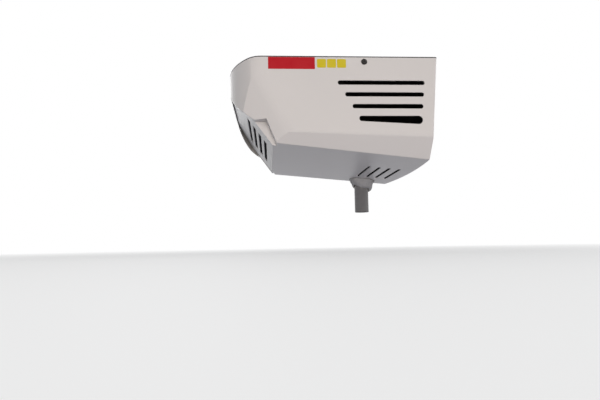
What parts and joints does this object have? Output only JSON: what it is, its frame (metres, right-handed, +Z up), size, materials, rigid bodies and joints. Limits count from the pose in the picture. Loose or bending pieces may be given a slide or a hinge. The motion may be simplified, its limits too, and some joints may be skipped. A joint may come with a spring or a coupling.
{
  "type": "van refrigeration evaporator unit",
  "caption": "Ceiling evaporator unit of a refrigerated van: moulded cover with air slots, sloped louvred outlet, cooling coil and twin blower inside, and a pipe sleeve below.",
  "frame": {"origin": "middle of the four roof bolt holes, on the plane where the unit meets the van's ceiling", "axes": "+Z up through the roof, +X towards the air inlet end and the van's front wall, +Y across the van, away from the flank that the picture shows"},
  "size_m": [0.5916, 0.609, 0.382],
  "materials": {
    "cover_plastic": "semi-gloss warm white moulding",
    "grille_plastic": "semi-gloss warm white moulding",
    "screw_steel": "zinc-plated",
    "seal_foam": "matt closed-cell foam",
    "roof_sheet": "mill finish sheet",
    "coil_fin": "fine pressed fins",
    "coil_end": "galvanised sheet",
    "copper_tube": "bright drawn tube",
    "valve_brass": "satin",
    "pan_plastic": "matt",
    "drain_tube": "satin",
    "motor_paint": "satin black",
    "bracket_steel": "zinc-plated sheet",
    "shaft_steel": "ground",
    "wheel_plastic": "matt",
    "scroll_plastic": "matt",
    "collar_sealant": "smoothed sealant",
    "sleeve_plastic": "satin grey"
  },
  "bodies": {
    "housing": {"roof_plate": "roof_sheet", "roof_seal": "seal_foam", "cover": "cover_plastic", "outlet_grille": "grille_plastic", "coil_fins": "coil_fin", "coil_end_front": "coil_end", "coil_end_rear": "coil_end", "coil_bends": "copper_tube", "suction_header": "copper_tube", "liquid_header": "copper_tube", "expansion_valve": "valve_brass", "suction_pipe": "copper_tube", "liquid_pipe": "copper_tube", "drain_pan": "pan_plastic", "drain_pipe": "drain_tube", "blower_motor": "motor_paint", "blower_bracket": "bracket_steel", "blower_scroll_front": "scroll_plastic", "blower_scroll_rear": "scroll_plastic", "conduit_collar": "collar_sealant", "conduit_sleeve": "sleeve_plastic", "cover_screw_front": "screw_steel", "cover_screw_rear": "screw_steel", "cover_screw_inlet": "screw_steel"},
    "blower_rotor": {"blower_shaft": "shaft_steel", "blower_disc_front": "wheel_plastic", "blower_disc_rear": "wheel_plastic", "blower_blades_front": "wheel_plastic", "blower_blades_rear": "wheel_plastic", "blower_ring_front": "wheel_plastic", "blower_ring_rear": "wheel_plastic"}
  },
  "joints": [
    {"name": "blower_spin", "type": "hinge", "parent": "housing", "child": "blower_rotor", "pos_m": [-0.09277, 0, -0.12885], "axis": [0, 1, 0], "continuous": true}
  ]
}
